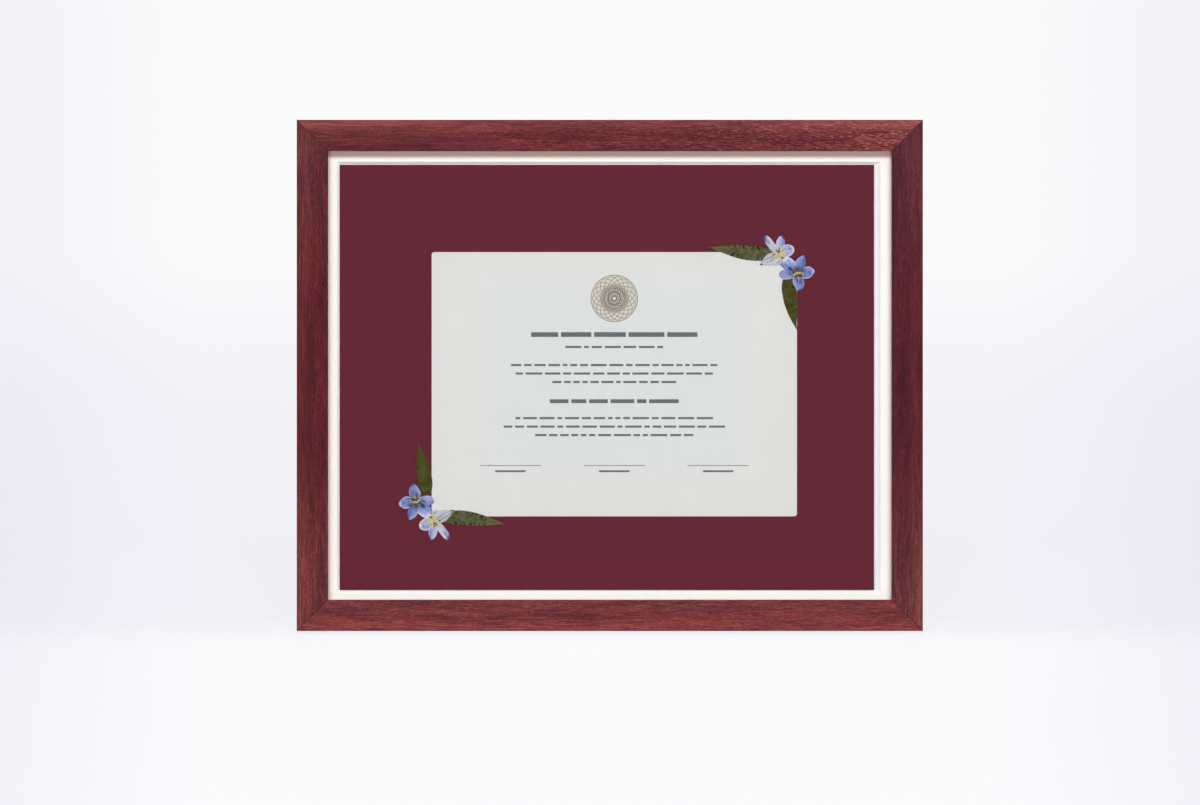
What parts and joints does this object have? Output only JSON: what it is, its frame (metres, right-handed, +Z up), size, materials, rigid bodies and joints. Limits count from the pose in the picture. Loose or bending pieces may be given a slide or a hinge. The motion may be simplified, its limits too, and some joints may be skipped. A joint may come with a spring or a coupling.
{
  "type": "certificate frame",
  "caption": "Landscape wooden certificate frame: mitred stained moulding, glazing, white bevelled mat, burgundy card, paper with pressed flowers, swivelling back buttons and folding easel leg.",
  "frame": {"origin": "middle of the bottom rail's back edge, where the frame stands on the table", "axes": "+X to the right seen from the front, +Y towards the back, +Z up; the picture faces -Y and leans back"},
  "size_m": [0.5536, 0.117, 0.4478],
  "materials": {
    "moulding_wood": "satin red-brown stain over open grain",
    "glazing": "clear polished",
    "white_mat_board": "matte",
    "burgundy_card": "matte",
    "certificate_paper": "matte",
    "tape": "matte",
    "foam_board": "matte",
    "hardboard": "smooth hardboard",
    "leg_board": "black paper-faced board",
    "pale_petals": "dry and silky",
    "blue_petals": "dry and silky",
    "pressed_leaf": "dry",
    "zinc_steel": "zinc plated",
    "hinge_steel": "yellow passivated",
    "rubber": "matte"
  },
  "bodies": {
    "frame": {"moulding_bottom_rail": "moulding_wood", "moulding_left_rail": "moulding_wood", "moulding_top_rail": "moulding_wood", "moulding_right_rail": "moulding_wood", "upper_spray_pale_flower": "pale_petals", "upper_spray_blue_flower": "blue_petals", "upper_spray_side_leaf": "pressed_leaf", "upper_spray_down_leaf": "pressed_leaf", "lower_spray_pale_flower": "pale_petals", "lower_spray_blue_flower": "blue_petals", "lower_spray_side_leaf": "pressed_leaf", "lower_spray_down_leaf": "pressed_leaf", "corner_v_nails": "zinc_steel", "glazing_sheet": "glazing", "white_mat": "white_mat_board", "burgundy_inset_card": "burgundy_card", "certificate_sheet": "certificate_paper", "certificate_tape_tabs": "tape", "mount_board": "foam_board", "back_board": "hardboard", "turn_button_screws": "zinc_steel", "sawtooth_hanger": "zinc_steel", "hanger_nails": "zinc_steel", "wall_bumpers": "rubber", "hinge_fixed_leaf": "hinge_steel", "hinge_pin": "hinge_steel", "fixed_leaf_rivets": "hinge_steel"},
    "easel": {"easel_leg": "leg_board", "hinge_moving_leaf": "hinge_steel", "moving_leaf_rivets": "hinge_steel"},
    "turn_button_top_left_body": {"turn_button_top_left": "zinc_steel"},
    "turn_button_top_right_body": {"turn_button_top_right": "zinc_steel"},
    "turn_button_bottom_left_body": {"turn_button_bottom_left": "zinc_steel"},
    "turn_button_bottom_right_body": {"turn_button_bottom_right": "zinc_steel"},
    "turn_button_left_upper_body": {"turn_button_left_upper": "zinc_steel"},
    "turn_button_left_lower_body": {"turn_button_left_lower": "zinc_steel"},
    "turn_button_right_upper_body": {"turn_button_right_upper": "zinc_steel"},
    "turn_button_right_lower_body": {"turn_button_right_lower": "zinc_steel"}
  },
  "joints": [
    {"name": "easel_fold", "type": "hinge", "parent": "frame", "child": "easel", "pos_m": [0, 0.0567, 0.30477], "axis": [1, 0, 0], "range_deg": [-18, 0]},
    {"name": "turn_button_top_left_swivel", "type": "hinge", "parent": "frame", "child": "turn_button_top_left_body", "pos_m": [-0.14, 0.07715, 0.43317], "axis": [0, 0.9848, -0.1736], "continuous": true},
    {"name": "turn_button_top_right_swivel", "type": "hinge", "parent": "frame", "child": "turn_button_top_right_body", "pos_m": [0.14, 0.07715, 0.43317], "axis": [0, 0.9848, -0.1736], "continuous": true},
    {"name": "turn_button_bottom_left_swivel", "type": "hinge", "parent": "frame", "child": "turn_button_bottom_left_body", "pos_m": [-0.14, 0.00283, 0.01167], "axis": [0, 0.9848, -0.1736], "continuous": true},
    {"name": "turn_button_bottom_right_swivel", "type": "hinge", "parent": "frame", "child": "turn_button_bottom_right_body", "pos_m": [0.14, 0.00283, 0.01167], "axis": [0, 0.9848, -0.1736], "continuous": true},
    {"name": "turn_button_left_upper_swivel", "type": "hinge", "parent": "frame", "child": "turn_button_left_upper_body", "pos_m": [-0.2648, 0.05909, 0.33075], "axis": [0, 0.9848, -0.1736], "continuous": true},
    {"name": "turn_button_left_lower_swivel", "type": "hinge", "parent": "frame", "child": "turn_button_left_lower_body", "pos_m": [-0.2648, 0.02089, 0.11409], "axis": [0, 0.9848, -0.1736], "continuous": true},
    {"name": "turn_button_right_upper_swivel", "type": "hinge", "parent": "frame", "child": "turn_button_right_upper_body", "pos_m": [0.2648, 0.05909, 0.33075], "axis": [0, 0.9848, -0.1736], "continuous": true},
    {"name": "turn_button_right_lower_swivel", "type": "hinge", "parent": "frame", "child": "turn_button_right_lower_body", "pos_m": [0.2648, 0.02089, 0.11409], "axis": [0, 0.9848, -0.1736], "continuous": true}
  ]
}
